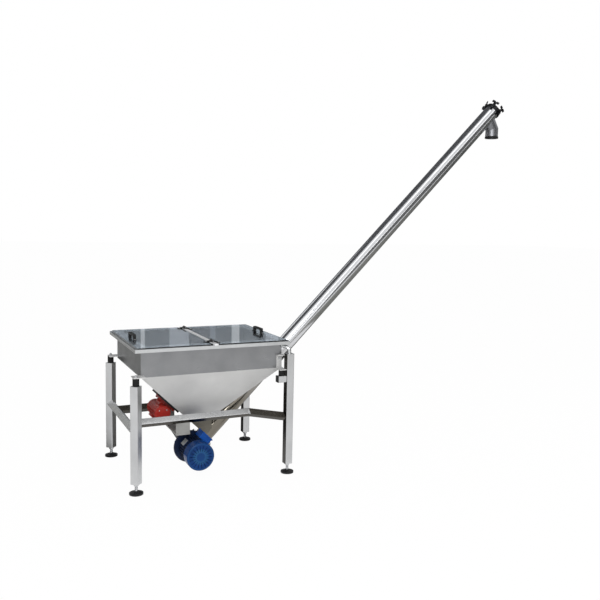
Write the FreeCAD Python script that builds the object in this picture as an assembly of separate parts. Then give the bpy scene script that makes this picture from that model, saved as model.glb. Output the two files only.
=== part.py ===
import FreeCAD, Part
import math
import os

V = FreeCAD.Vector
X = V(1, 0, 0)
Y = V(0, 1, 0)
Z = V(0, 0, 1)
ORIGIN = V(0, 0, 0)
SIDES = (-1, 1)

# Stand, all lengths in mm
LEG = 60.0
LEG_WALL = 3.0
LEG_X = 585.0
LEG_Y = 450.0
LEG_BOTTOM = 75.0
LEFT_LEG_TOP = 775.0
RIGHT_LEG_TOP = 935.0
TOP_PLATE = 5.0
CORNER = 5.0
RAIL = 50.0
RAIL_WALL = 3.0
RAIL_Z = 440.0
LONG_RAIL_Y = 215.0
MITRE_X = 350.0
PAD_R = 50.0
SPINDLE_R = 10.0
NUT_HEIGHT = 16.0
INSERT_DEPTH = 40.0

# Rubber mounts under the hopper
STUD_R = 6.0
FIT = 0.05
LEFT_BUFFER_R = 23.5
LEFT_BUFFER_H = 55.0
RIGHT_BUFFER_R = 22.0
RIGHT_BUFFER_H = 45.0
RIGHT_BUFFER_X = 522.0
ARM_TOP = 768.0
ARM_END_X = 490.0
LUG = 6.0
LUG_REACH = 20.0

# Hopper
WALL = 3.0
BLOCK = 3000.0
SKIRT_X = 540.0
SKIRT_Y = 405.0
SKIRT_Z = 820.0
RIM_TOP = 1030.0
RIM_X = 590.0
RIM_Y = 455.0
RIM_DEPTH = 25.0
MOUTH_X = 500.0
MOUTH_Y = 365.0
THROAT_Z = 390.0
THROAT_RIGHT = 100.0
THROAT_Y = 65.0
SLOPE_FOOT_X = 15.0
SLOPE_FOOT_Z = 283.0

# Lids
LID_GAP = 0.3
LID = 8.0
LID_INNER = 22.0
LID_OUTER = 575.0
LID_Y = 445.0
BAR_X = 15.0
BAR_H = 10.0
HINGE_Y = 350.0
HINGE_RISE = 20.0
KNUCKLE_R = 9.5
PIN_R = 4.0
LEAF = 4.0
LEAF_REACH = 52.0
LEAF_SCREW_X = 40.0
LEAF_NEAR = 10.3
LEAF_FAR = 42.0
HANDLE_X = LID_OUTER - 65.0
SCREW_R = 2.5

# Conveyor tube, its axis rises at 45 degrees from a point on the floor
TILT = 45.0
TUBE_FOOT_X = -174.0
TUBE_R = 66.5
TUBE_WALL = 2.0
TUBE_START = 290.6
TUBE_END = 4227.0
FLANGE_R = 95.0
FLANGE_T = 12.0
SPOUT_X = 2830.0
SPOUT_R = 57.15
SPOUT_WALL = 2.0
MOUTH_RING = 45.0
MOUTH_RING_T = 3.0
MOUTH_Z = 2749.0
ELBOW_Z = 2833.0
ELBOW_TILT = 30.0
END_R = TUBE_R + 8.5
COVER_R = TUBE_R + 5.5
COVER_T = 22.0
SADDLE_S = 1208.0
SADDLE_T = 6.0

# Swing bolts of the end cover
PIVOT_R = TUBE_R + 19.5
PIVOT_DROP = 6.0
BOLT_R = 5.0
EYE_R = 9.0
SWING_ANGLES = (135.0, 75.0, -75.0, -135.0)

# Screw
CORE_R = 24.15
STUB_R = 20.0
END_STUB_R = 15.0
FLIGHT_R = 61.0
FLIGHT_T = 4.0
PITCH = 125.0
TURNS = 30
FLIGHT_START = 330.0

# Worm gear unit and motor, measured in the frame of the tube
BOX_S = 189.5
BOX_HALF = 60.0
BOX_LEFT = -130.0
BOX_RIGHT = 80.0
CENTRES = 75.0
WHEEL_R = 50.7
WORM_R = 24.0
WORM_X = -CENTRES
SHAFT_R = 14.0
MOTOR_FACE = -97.0
MOTOR_FLANGE_R = 125.0
MOTOR_FLANGE_T = 15.0
BODY_R = 83.0
FIN_R = 95.0
FINS = 28
BODY_END = -300.0
COWL_R = 106.0
COWL_END = -392.0

# Vibrator on the left slope of the hopper
VIB_ALONG = 411.0
VIB_OFF = 92.0
VIB_R = 60.0
VIB_HALF = 95.0
VIB_CAP = 35.0
BASE_T = 8.0


def cyl(radius, height, at, axis=Z):
    return Part.makeCylinder(radius, height, at, axis)


def ring(outer, inner, height, at, axis=Z):
    return cyl(outer, height, at, axis).cut(cyl(inner, height, at, axis))


def box(x0, x1, y0, y1, z0, z1):
    return Part.makeBox(x1 - x0, y1 - y0, z1 - z0, V(x0, y0, z0))


def hexagon(across, height, at, axis=Z):
    radius = across / math.sqrt(3)
    corners = []
    for i in range(7):
        a = math.radians(60 * i)
        corners.append(V(radius * math.cos(a), radius * math.sin(a), 0))
    prism = Part.Face(Part.makePolygon(corners)).extrude(V(0, 0, height))
    prism.Placement = FreeCAD.Placement(at, FreeCAD.Rotation(Z, axis))
    return prism


def prism_xz(points, y0, y1):
    corners = [V(x, y0, z) for x, z in points]
    return Part.Face(Part.makePolygon(corners + corners[:1])).extrude(V(0, y1 - y0, 0))


def group(shapes):
    return Part.makeCompound(shapes)


def fused(shapes):
    result = shapes[0]
    for shape in shapes[1:]:
        result = result.fuse(shape)
    return result.removeSplitter()


def turned(shape, angle, axis=Z, about=ORIGIN):
    copy = shape.copy()
    copy.rotate(about, axis, angle)
    return copy


def moved(shape, x, y, z):
    copy = shape.copy()
    copy.translate(V(x, y, z))
    return copy


def other_side(shape):
    return shape.mirror(ORIGIN, Y)


def both(shape):
    return [shape, other_side(shape)]


def along_tube(shape):
    return moved(turned(shape, TILT, Y), TUBE_FOOT_X, 0, 0)


def half_space(point, normal):
    block = Part.makeBox(600, 600, 600, V(-300, -300, 0))
    block.Placement = FreeCAD.Placement(point, FreeCAD.Rotation(Z, normal))
    return block


# Square tubes of the stand

def square_bar(size, length, radius):
    bar = Part.makeBox(size, size, length, V(-size / 2, -size / 2, 0))
    upright = [e for e in bar.Edges if abs(e.Vertexes[0].Z - e.Vertexes[1].Z) > 1]
    return bar.makeFillet(radius, upright)


def square_tube(size, wall, length):
    inner = square_bar(size - 2 * wall, length, CORNER - wall)
    return square_bar(size, length, CORNER).cut(inner)


def leg_turn(x):
    return 45.0 if x < 0 else 0.0


def at_leg(shape, x, y, z):
    return moved(turned(shape, leg_turn(x)), x, y, z)


def leg_envelope(x, y):
    return at_leg(square_bar(LEG, RIGHT_LEG_TOP - LEG_BOTTOM, CORNER), x, y, LEG_BOTTOM)


def leg(x, y, top, hole):
    tube = square_tube(LEG, LEG_WALL, top - TOP_PLATE - LEG_BOTTOM)
    plate = moved(square_bar(LEG, TOP_PLATE, CORNER), 0, 0, top - TOP_PLATE - LEG_BOTTOM)
    if hole:
        plate = plate.cut(cyl(STUD_R + FIT, top, ORIGIN))
    return at_leg(tube.fuse(plate), x, y, LEG_BOTTOM)


def edge_up(start, end, solid=False):
    span = end - start
    length = span.Length
    section = square_bar(RAIL, length, CORNER) if solid else square_tube(RAIL, RAIL_WALL, length)
    section = turned(turned(section, 45), 90, Y)
    heading = math.degrees(math.atan2(span.y, span.x))
    return moved(turned(section, heading), start.x, start.y, start.z)


def left_end_rail():
    rail = edge_up(V(-LEG_X, -LEG_Y, RAIL_Z), V(-LEG_X, LEG_Y, RAIL_Z))
    return rail.cut(leg_envelope(-LEG_X, -LEG_Y)).cut(leg_envelope(-LEG_X, LEG_Y))


def long_rail():
    start = V(-LEG_X, -LONG_RAIL_Y, RAIL_Z)
    rail = edge_up(start, V(MITRE_X + RAIL, -LONG_RAIL_Y, RAIL_Z))
    mitre = V(1 + math.sqrt(0.5), -math.sqrt(0.5), 0)
    end = edge_up(V(-LEG_X, -LEG_Y, RAIL_Z), V(-LEG_X, LEG_Y, RAIL_Z), True)
    return rail.cut(end).cut(half_space(V(MITRE_X, -LONG_RAIL_Y, RAIL_Z), mitre))


def diagonal_rail():
    start = V(MITRE_X - RAIL, -LONG_RAIL_Y + RAIL, RAIL_Z)
    rail = edge_up(start, V(LEG_X, -LEG_Y, RAIL_Z))
    mitre = V(-1 - math.sqrt(0.5), math.sqrt(0.5), 0)
    rail = rail.cut(half_space(V(MITRE_X, -LONG_RAIL_Y, RAIL_Z), mitre))
    return rail.cut(leg_envelope(LEG_X, -LEG_Y))


def feet(make):
    return group([make(sx * LEG_X, sy * LEG_Y) for sx in SIDES for sy in SIDES])


def foot_pad(x, y):
    disc = cyl(PAD_R, 12, V(x, y, 0))
    cone = Part.makeCone(PAD_R - 4, 20, 12, V(x, y, 12))
    return disc.fuse(cone).cut(cyl(SPINDLE_R, 10, V(x, y, 14)))


def foot_spindle(x, y):
    return cyl(SPINDLE_R, LEG_BOTTOM + INSERT_DEPTH + 4 - 14, V(x, y, 14))


def foot_nut(x, y):
    nut = hexagon(30, NUT_HEIGHT, V(x, y, LEG_BOTTOM - NUT_HEIGHT))
    return nut.cut(cyl(SPINDLE_R, NUT_HEIGHT, V(x, y, LEG_BOTTOM - NUT_HEIGHT)))


def foot_insert(x, y):
    plug = square_bar(LEG - 2 * LEG_WALL, INSERT_DEPTH, CORNER - LEG_WALL)
    plug = plug.cut(cyl(SPINDLE_R, INSERT_DEPTH, ORIGIN))
    return at_leg(plug, x, y, LEG_BOTTOM)


def arm_centre_z():
    return ARM_TOP - RAIL / 2


def buffer_arm():
    arm = square_tube(RAIL, RAIL_WALL, LEG_X - LEG / 2 - ARM_END_X)
    arm = moved(turned(arm, 90, Y), ARM_END_X, -LEG_Y, arm_centre_z())
    return arm.cut(cyl(STUD_R + FIT, RAIL / 2, V(RIGHT_BUFFER_X, -LEG_Y, arm_centre_z())))


def arm_cap():
    plug = moved(square_bar(RAIL - 2 * RAIL_WALL, 8, CORNER - RAIL_WALL), 0, 0, 4)
    cap = square_bar(RAIL, 4, CORNER).fuse(plug)
    return moved(turned(cap, 90, Y), ARM_END_X - 4, -LEG_Y, arm_centre_z())


# Rubber buffers with their studs

def buffer(x, base, radius, height):
    body = ring(radius, STUD_R + FIT, height, V(x, -LEG_Y, base))
    return body.makeChamfer(2, [e for e in body.Edges if abs(e.BoundBox.XLength - 2 * radius) < 1])


def fixing(x, under, over):
    rod = cyl(STUD_R, over - under + 28, V(x, -LEG_Y, under - 12))
    lower = hexagon(19, 10, V(x, -LEG_Y, under - 10))
    upper = hexagon(19, 10, V(x, -LEG_Y, over))
    return fused([rod, lower, upper])


def left_lug_z():
    return LEFT_LEG_TOP + LEFT_BUFFER_H


def right_lug_z():
    return ARM_TOP + RIGHT_BUFFER_H


def hopper_lug():
    reach = LEG_X + LUG_REACH
    z0 = left_lug_z()
    plate = box(-reach, LUG_REACH - SKIRT_X, -LEG_Y - LUG_REACH, LUG_REACH - SKIRT_Y, z0, z0 + LUG)
    plate = plate.cut(box(-SKIRT_X, 0, -SKIRT_Y, 0, z0, z0 + LUG))
    return plate.cut(cyl(STUD_R + FIT, LUG, V(-LEG_X, -LEG_Y, z0)))


def bracket_bolt_z():
    return right_lug_z() + 84


def hopper_bracket():
    z0 = right_lug_z()
    front = -SKIRT_Y
    foot = box(RIGHT_BUFFER_X - 25, LEG_X - LEG / 2 - 3, -LEG_Y - 28, front, z0, z0 + LUG)
    web = box(RIGHT_BUFFER_X - 25, SKIRT_X, front - LUG, front, z0, z0 + 112)
    shelf = box(RIGHT_BUFFER_X - 25, SKIRT_X + 12, front - 36, front, z0 + 106, z0 + 112)
    plate = fused([foot, web, shelf])
    plate = plate.cut(cyl(STUD_R + FIT, LUG, V(RIGHT_BUFFER_X, -LEG_Y, z0)))
    return plate.cut(cyl(BOLT_R, LUG, V(RIGHT_BUFFER_X - 4, front - LUG, bracket_bolt_z()), Y))


def bracket_bolt():
    at = V(RIGHT_BUFFER_X - 4, -SKIRT_Y - LUG, bracket_bolt_z())
    shank = cyl(BOLT_R, LUG + WALL + 12, at, Y)
    head = hexagon(17, 7, at, Y * -1)
    nut = hexagon(17, 8, at + V(0, LUG + WALL, 0), Y)
    return fused([shank, head, nut])


# Hopper

def slope_x(z):
    share = (SKIRT_Z - z) / (SKIRT_Z - SLOPE_FOOT_Z)
    return -SKIRT_X + (SKIRT_X + SLOPE_FOOT_X) * share


def rectangle(x0, x1, half_y, z):
    corners = [V(x0, -half_y, z), V(x1, -half_y, z), V(x1, half_y, z), V(x0, half_y, z)]
    return Part.makePolygon(corners + corners[:1])


def slant(run, rise):
    return WALL * math.hypot(run, rise) / rise


def hopper_inset(inside):
    fall = SKIRT_Z - THROAT_Z
    runs = (SKIRT_X + slope_x(THROAT_Z), SKIRT_X - THROAT_RIGHT, SKIRT_Y - THROAT_Y)
    return [slant(run, fall) if inside else 0.0 for run in runs]


def hopper_slopes(inside):
    left, right, side = hopper_inset(inside)
    top = rectangle(-SKIRT_X + left, SKIRT_X - right, SKIRT_Y - side, SKIRT_Z)
    low = rectangle(slope_x(THROAT_Z) + left, THROAT_RIGHT - right, THROAT_Y - side, THROAT_Z)
    return Part.makeLoft([top, low], True, True)


def hopper_chute(inside):
    left = hopper_inset(inside)[0]
    wall = WALL if inside else 0.0
    foot_z = SLOPE_FOOT_Z - 46
    points = [(slope_x(THROAT_Z) + left, THROAT_Z), (THROAT_RIGHT - wall, THROAT_Z)]
    points.append((THROAT_RIGHT - wall, THROAT_RIGHT - TUBE_FOOT_X))
    points.append((slope_x(foot_z) + left, foot_z))
    return prism_xz(points, -THROAT_Y + wall, THROAT_Y - wall)


def hopper_core(inside):
    return hopper_slopes(inside).fuse(hopper_chute(inside))


def tube_envelope():
    return along_tube(cyl(TUBE_R, TUBE_END - TUBE_START, V(0, 0, TUBE_START)))


def beyond(point, normal):
    block = Part.makeBox(BLOCK, BLOCK, BLOCK, V(-BLOCK / 2, -BLOCK / 2, 0))
    block.Placement = FreeCAD.Placement(point, FreeCAD.Rotation(Z, normal))
    return block


# Four sloping sheets, each one flat plate, welded edge to edge above the chute

def sloping_sheets():
    side = hopper_inset(True)[2]
    front = beyond(V(0, -SKIRT_Y + side, SKIRT_Z), V(0, THROAT_Z - SKIRT_Z, THROAT_Y - SKIRT_Y))
    ends = hopper_slopes(False).cut(hopper_slopes(True)).cut(front).cut(other_side(front))
    return both(hopper_slopes(False).common(front)) + ends.Solids


def hopper_funnel():
    chute = hopper_chute(False).cut(hopper_chute(True)).cut(tube_envelope())
    return group(sloping_sheets() + chute.Solids)


def hopper_skirt():
    outer = box(-SKIRT_X, SKIRT_X, -SKIRT_Y, SKIRT_Y, SKIRT_Z, RIM_TOP - WALL)
    hx = SKIRT_X - WALL
    hy = SKIRT_Y - WALL
    skirt = outer.cut(box(-hx, hx, -hy, hy, SKIRT_Z, RIM_TOP - WALL))
    hole = cyl(BOLT_R, 2 * SKIRT_Y, V(RIGHT_BUFFER_X - 4, -SKIRT_Y, bracket_bolt_z()), Y)
    return skirt.cut(hole)


def hopper_rim():
    low = RIM_TOP - RIM_DEPTH
    outer = box(-RIM_X, RIM_X, -RIM_Y, RIM_Y, low, RIM_TOP)
    hx = RIM_X - WALL
    hy = RIM_Y - WALL
    outer = outer.cut(box(-hx, hx, -hy, hy, low, RIM_TOP - WALL))
    return outer.cut(box(-MOUTH_X, MOUTH_X, -MOUTH_Y, MOUTH_Y, low, RIM_TOP))


# Lids on a common hinge line

def hinge_z():
    return RIM_TOP + HINGE_RISE


def lid_top():
    return RIM_TOP + LID_GAP + LID


def lid_bar():
    return box(-BAR_X, BAR_X, -RIM_Y, RIM_Y, RIM_TOP, RIM_TOP + BAR_H)


def hinge_base(y):
    block = box(-14, 14, y - 10, y + 10, RIM_TOP + BAR_H, hinge_z())
    eye = cyl(KNUCKLE_R, 20, V(0, y - 10, hinge_z()), Y)
    return block.fuse(eye).cut(cyl(PIN_R, 20, V(0, y - 10, hinge_z()), Y))


def hinge_leaf(y):
    z0 = lid_top()
    plate = box(-LEAF_REACH, -18, y + LEAF_NEAR, y + LEAF_FAR, z0, z0 + LEAF)
    arm = box(-30, 0, y + LEAF_NEAR, y + 32, hinge_z() - 9.6, hinge_z() - 3)
    eye = cyl(KNUCKLE_R, 21.7, V(0, y + LEAF_NEAR, hinge_z()), Y)
    leaf = fused([plate, arm, eye])
    leaf = leaf.cut(cyl(PIN_R + FIT, 21.7, V(0, y + LEAF_NEAR, hinge_z()), Y))
    for x, dy in hinge_screw_spots():
        leaf = leaf.cut(cyl(SCREW_R, 20, V(x, y + dy, z0 - 2)))
    return leaf


def hinge_screw_spots():
    return [(-LEAF_SCREW_X, dy) for dy in (LEAF_NEAR + 8, LEAF_FAR - 8)]


def handle_screw_spots():
    return [(-HANDLE_X, side * 92) for side in SIDES]


def all_screw_spots():
    spots = [(x, y + dy) for y in (-HINGE_Y, HINGE_Y) for x, dy in hinge_screw_spots()]
    return spots + handle_screw_spots()


def lid():
    z0 = RIM_TOP + LID_GAP
    plate = box(-LID_OUTER, -LID_INNER, -LID_Y, LID_Y, z0, z0 + LID)
    upright = [e for e in plate.Edges if abs(e.Vertexes[0].Z - e.Vertexes[1].Z) > 1]
    plate = plate.makeFillet(12, upright)
    for x, y in all_screw_spots():
        plate = plate.cut(cyl(SCREW_R, LID, V(x, y, z0)))
    return plate


def lid_handle():
    z0 = lid_top()
    outer = box(-HANDLE_X - 11, -HANDLE_X + 11, -80, 80, z0, z0 + 40)
    corners = [e for e in outer.Edges if e.BoundBox.XLength > 20 and e.BoundBox.ZMin > z0 + 20]
    outer = outer.makeFillet(12, corners)
    grip = outer.cut(box(-HANDLE_X - 12, -HANDLE_X + 12, -62, 62, z0, z0 + 26))
    feet_plate = box(-HANDLE_X - 11, -HANDLE_X + 11, -102, 102, z0, z0 + LEAF)
    feet_plate = feet_plate.cut(box(-HANDLE_X - 12, -HANDLE_X + 12, -62, 62, z0, z0 + LEAF))
    grip = fused([grip, feet_plate])
    for x, y in handle_screw_spots():
        grip = grip.cut(cyl(SCREW_R, LEAF, V(x, y, z0)))
    return grip


def lid_screws():
    screws = []
    for x, y in all_screw_spots():
        shank = cyl(SCREW_R, LEAF + LID - 0.4, V(x, y, RIM_TOP + LID_GAP + 0.4))
        head = Part.makeCone(5, 3.4, 3, V(x, y, lid_top() + LEAF))
        screws.append(shank.fuse(head))
    return group(screws)


def swapped(shape):
    return turned(shape, 180)


# Conveyor tube, outlet and end cover

def elbow_axis(tilt):
    lean = math.radians(tilt)
    return V(-math.sin(lean), 0, math.cos(lean))


def spout_column(radius):
    elbow = V(SPOUT_X, 0, ELBOW_Z)
    mitre = elbow_axis(ELBOW_TILT / 2)
    column = cyl(radius, 2 * radius + ELBOW_Z - MOUTH_Z, V(SPOUT_X, 0, MOUTH_Z))
    column = column.cut(half_space(elbow, mitre))
    lean = elbow_axis(ELBOW_TILT)
    branch = cyl(radius, TUBE_R * 2 + radius, elbow - lean * radius, lean)
    return column.fuse(branch.cut(half_space(elbow, mitre * -1)))


def conveyor_tube():
    tube = ring(TUBE_R, TUBE_R - TUBE_WALL, TUBE_END - TUBE_START, V(0, 0, TUBE_START))
    return along_tube(tube).cut(hopper_core(True)).cut(spout_column(SPOUT_R - SPOUT_WALL))


def outlet_spout():
    mouth = ring(SPOUT_R, SPOUT_R - MOUTH_RING_T, MOUTH_RING, V(SPOUT_X, 0, MOUTH_Z))
    bore = spout_column(SPOUT_R - SPOUT_WALL).cut(mouth)
    return spout_column(SPOUT_R).cut(bore).cut(tube_envelope())


def outlet_seal_ring():
    return ring(SPOUT_R + 3.5, SPOUT_R, 16, V(SPOUT_X, 0, MOUTH_Z))


def around_end(shape):
    return [turned(shape, angle) for angle in SWING_ANGLES]


def pivot_s():
    return TUBE_END - PIVOT_DROP


def end_flange():
    body = ring(END_R, TUBE_R - TUBE_WALL, FLANGE_T, V(0, 0, TUBE_END))
    lugs = []
    for y0 in (-11.3, 6.3):
        lug = box(TUBE_R - 0.5, PIVOT_R + 10, y0, y0 + 5, pivot_s() - 10, TUBE_END + FLANGE_T)
        lug = lug.cut(cyl(TUBE_R, 60, V(0, 0, TUBE_END - 40)))
        lug = lug.cut(cyl(TUBE_R - TUBE_WALL, 60, V(0, 0, TUBE_END)))
        lugs.append(lug.cut(cyl(PIN_R, 40, V(PIVOT_R, -20, pivot_s()), Y)))
    parts = [body]
    for lug in lugs:
        parts += around_end(lug)
    return along_tube(fused(parts))


def swing_pins():
    pin = cyl(PIN_R, 26, V(PIVOT_R, -13, pivot_s()), Y)
    return along_tube(group(around_end(pin)))


def end_cover():
    z0 = TUBE_END + FLANGE_T
    disc = cyl(COVER_R, COVER_T, V(0, 0, z0)).fuse(cyl(32, 18, V(0, 0, z0)))
    ear = box(COVER_R - 12, PIVOT_R - 1, -14, 14, z0, z0 + COVER_T)
    slot = box(PIVOT_R - BOLT_R - 1.5, PIVOT_R + 20, -BOLT_R - 0.5, BOLT_R + 0.5, z0, z0 + COVER_T)
    cover = fused([disc] + around_end(ear.cut(slot)))
    return along_tube(cover.cut(cyl(22, 14, V(0, 0, z0))))


def end_bush():
    return along_tube(ring(22, END_STUB_R + FIT, 14, V(0, 0, TUBE_END + FLANGE_T)))


def swing_bolt(angle):
    seat = TUBE_END + FLANGE_T + COVER_T + 0.1
    eye = cyl(EYE_R, 12, V(PIVOT_R, -6, pivot_s()), Y)
    rod = cyl(BOLT_R, seat + 22 - pivot_s(), V(PIVOT_R, 0, pivot_s()))
    bolt = eye.fuse(rod).cut(cyl(PIN_R + FIT, 12, V(PIVOT_R, -6, pivot_s()), Y))
    washer = ring(11, BOLT_R, 2, V(PIVOT_R, 0, seat))
    hub = cyl(9, 12, V(PIVOT_R, 0, seat + 2))
    wings = []
    for side in SIDES:
        wing = box(PIVOT_R - 2, PIVOT_R + 2, side * 20 - 14, side * 20 + 14, seat + 6, seat + 30)
        tips = [e for e in wing.Edges if e.BoundBox.XLength > 3 and abs(e.BoundBox.YMin) > 20]
        wings.append(wing.makeFillet(6, tips))
    nut = fused([hub] + wings).cut(cyl(BOLT_R, 40, V(PIVOT_R, 0, seat)))
    return along_tube(turned(group([bolt, washer, nut]), angle))


def base_bolt_spots():
    bolt = cyl(BOLT_R, 2 * FLANGE_T, V(82, 0, TUBE_START - FLANGE_T))
    return [turned(bolt, 30 + 60 * i) for i in range(6)]


def tube_base_flange():
    flange = ring(FLANGE_R, TUBE_R, FLANGE_T, V(0, 0, TUBE_START))
    for hole in base_bolt_spots():
        flange = flange.cut(hole)
    return along_tube(flange)


def base_flange_bolts():
    low = TUBE_START - FLANGE_T
    shank = cyl(BOLT_R, 2 * FLANGE_T, V(82, 0, low))
    head = hexagon(16, 6.5, V(82, 0, low - 6.5))
    nut = hexagon(16, 8, V(82, 0, low + 2 * FLANGE_T))
    bolt = fused([shank, head, nut])
    return along_tube(group([turned(bolt, 30 + 60 * i) for i in range(6)]))


def tube_saddle():
    outer = TUBE_R + SADDLE_T
    band = along_tube(ring(outer, TUBE_R, 60, V(0, 0, SADDLE_S - 30)))
    plate = box(SKIRT_X, SKIRT_X + SADDLE_T, -62, 62, 850, 1000)
    points = [(SKIRT_X + 3, 862), (SKIRT_X + 3, 992), (672, 940), (630, 878)]
    rib = prism_xz(points, 36, 42).cut(along_tube(cyl(TUBE_R, 400, V(0, 0, SADDLE_S - 200))))
    return fused([band, plate, rib, other_side(rib)])


# Screw with its drive and end stubs

def helix_arc(radius, first, span, lift):
    knots = []
    for i in range(3):
        a = first + span * i / 2
        knots.append(V(radius * math.cos(a), radius * math.sin(a), PITCH * a / (2 * math.pi) + lift))
    climb = PITCH / (2 * math.pi)
    tangents = [V(-p.y, p.x, climb) for p in (knots[0], knots[2])]
    curve = Part.BSplineCurve()
    curve.interpolate(Points=knots, InitialTangent=tangents[0], FinalTangent=tangents[1])
    return curve.toShape()


def flight_end(angle, inner):
    z0 = PITCH * angle / (2 * math.pi)
    out = V(math.cos(angle), math.sin(angle), 0)
    corners = [out * inner + V(0, 0, z0), out * FLIGHT_R + V(0, 0, z0)]
    corners += [out * FLIGHT_R + V(0, 0, z0 + FLIGHT_T), out * inner + V(0, 0, z0 + FLIGHT_T)]
    return Part.Face(Part.makePolygon(corners + corners[:1]))


def screw_flight():
    inner = CORE_R + 0.02
    per_turn = 8
    span = 2 * math.pi / per_turn
    faces = [flight_end(0, inner), flight_end(TURNS * 2 * math.pi, inner)]
    for i in range(TURNS * per_turn):
        low_in = helix_arc(inner, i * span, span, 0)
        low_out = helix_arc(FLIGHT_R, i * span, span, 0)
        top_in = helix_arc(inner, i * span, span, FLIGHT_T)
        top_out = helix_arc(FLIGHT_R, i * span, span, FLIGHT_T)
        for a, b in ((low_in, low_out), (top_in, top_out), (low_out, top_out), (low_in, top_in)):
            faces.append(Part.makeRuledSurface(a, b))
    shell = Part.makeShell(faces)
    shell.sewShape()
    solid = Part.makeSolid(shell)
    if solid.Volume < 0:
        solid.reverse()
    return along_tube(moved(solid, 0, 0, FLIGHT_START))


def screw_core():
    top = FLIGHT_START + TURNS * PITCH + 40
    core = cyl(CORE_R, top - 300, V(0, 0, 300)).cut(cyl(STUB_R, top - 400, V(0, 0, 350)))
    stub = cyl(STUB_R, 350 - 114, V(0, 0, 114))
    last = cyl(END_STUB_R, TUBE_END + FLANGE_T + 12 - top + 10, V(0, 0, top - 10))
    return along_tube(fused([core, stub, last]))


def worm_wheel():
    rim = cyl(WHEEL_R, 30, V(0, 0, BOX_S - 15))
    hub = cyl(32, 60, V(0, 0, BOX_S - 30))
    wheel = rim.fuse(hub).cut(cyl(STUB_R, 60, V(0, 0, BOX_S - 30)))
    for i in range(30):
        notch = box(WHEEL_R - 3, WHEEL_R + 2, -1.8, 1.8, BOX_S - 16, BOX_S + 16)
        wheel = wheel.cut(turned(notch, 12 * i))
    return along_tube(wheel)


# Worm gear unit

def shaft_axis(y):
    return V(WORM_X, y, BOX_S)


def gearbox_housing():
    low = BOX_S - BOX_HALF
    top = BOX_S + BOX_HALF
    body = box(BOX_LEFT, BOX_RIGHT, -BOX_HALF, BOX_HALF, low, top)
    body = body.makeFillet(12, [e for e in body.Edges if e.BoundBox.DiagonalLength > 100])
    neck = cyl(58, -BOX_HALF - MOTOR_FACE + 20, shaft_axis(MOTOR_FACE), Y)
    face = cyl(90, 12, shaft_axis(MOTOR_FACE), Y)
    lantern = cyl(56, TUBE_START - top + 5, V(0, 0, top - 5))
    collar = cyl(FLANGE_R, FLANGE_T, V(0, 0, TUBE_START - FLANGE_T))
    boss = cyl(38, 8, shaft_axis(BOX_HALF), Y)
    body = fused([body, neck, face, lantern, collar, boss])
    body = body.cut(cyl(WHEEL_R + 1.3, 104, V(0, 0, low)))
    body = body.cut(cyl(STUB_R + FIT, 80, V(0, 0, low + 90)))
    body = body.cut(cyl(50, TUBE_START - top, V(0, 0, top)))
    body = body.cut(cyl(WORM_R + 6, 50 - MOTOR_FACE, shaft_axis(MOTOR_FACE), Y))
    body = body.cut(cyl(SHAFT_R + FIT, 60, shaft_axis(0), Y))
    for hole in base_bolt_spots():
        body = body.cut(hole)
    return along_tube(body)


def gearbox_cover():
    low = BOX_S - BOX_HALF
    cover = cyl(59, FLANGE_T, V(0, 0, low - FLANGE_T)).fuse(cyl(34, 8, V(0, 0, low - FLANGE_T - 8)))
    for i in range(6):
        head = hexagon(10, 4, V(52, 0, low - FLANGE_T - 4))
        cover = cover.fuse(turned(head, 30 + 60 * i))
    return along_tube(cover.cut(cyl(STUB_R + FIT, 20, V(0, 0, low - 18))))


def shaft_seal():
    seal = ring(50, STUB_R + FIT, 10, V(0, 0, TUBE_START - 10))
    return along_tube(seal)


def hanger_frame():
    points = [(-225, 322), (-140, 322)]
    for s in (220, 160):
        root = math.sqrt(0.5)
        points.append((TUBE_FOOT_X + root * (s + BOX_LEFT), root * (s - BOX_LEFT)))
    arm = prism_xz(points, 26, 38)
    beam = box(-233, -125, -LONG_RAIL_Y - 10, LONG_RAIL_Y + 10, 318, 330)
    plate = box(-233, -125, -LONG_RAIL_Y - 5, -LONG_RAIL_Y + 5, 330, RAIL_Z)
    plate = plate.cut(edge_up(V(-LEG_X, -LONG_RAIL_Y, RAIL_Z), V(MITRE_X, -LONG_RAIL_Y, RAIL_Z), True))
    lowest = [s for s in plate.Solids if s.BoundBox.ZMin < 331]
    return fused([beam] + both(arm) + both(lowest[0]))


# Motor

def motor_body():
    face = cyl(MOTOR_FLANGE_R, MOTOR_FLANGE_T, shaft_axis(MOTOR_FACE - MOTOR_FLANGE_T), Y)
    face = face.makeChamfer(2, [e for e in face.Edges if e.BoundBox.XLength > 200])
    back = MOTOR_FACE - MOTOR_FLANGE_T
    barrel = cyl(BODY_R, back - BODY_END, shaft_axis(BODY_END), Y)
    shield = cyl(COWL_R - 2, 10, shaft_axis(BODY_END - 10), Y)
    fin = box(BODY_R - 3, FIN_R, BODY_END, back - 18, -1.6, 1.6)
    fins = []
    for i in range(FINS):
        copy = turned(fin, 360.0 * i / FINS, Y)
        fins.append(moved(copy, WORM_X, 0, BOX_S))
    pad = box(WORM_X - FIN_R - 2, WORM_X - BODY_R + 6, -238, -162, BOX_S - 30, BOX_S + 30)
    feet_pad = box(WORM_X - 40, WORM_X + 40, -232, -138, BOX_S + BODY_R - 14, BOX_S + FIN_R + 4)
    body = fused([face, barrel, shield, pad, feet_pad] + fins)
    body = body.cut(cyl(60, back - BODY_END - 6, shaft_axis(BODY_END), Y))
    body = body.cut(cyl(SHAFT_R + FIT, 400, shaft_axis(BODY_END - 10), Y))
    for i in range(8):
        head = hexagon(13, 5, V(108, back, 0), Y * -1)
        head = moved(turned(head, 22.5 + 45 * i, Y), WORM_X, 0, BOX_S)
        body = body.fuse(head)
    return along_tube(body)


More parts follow.
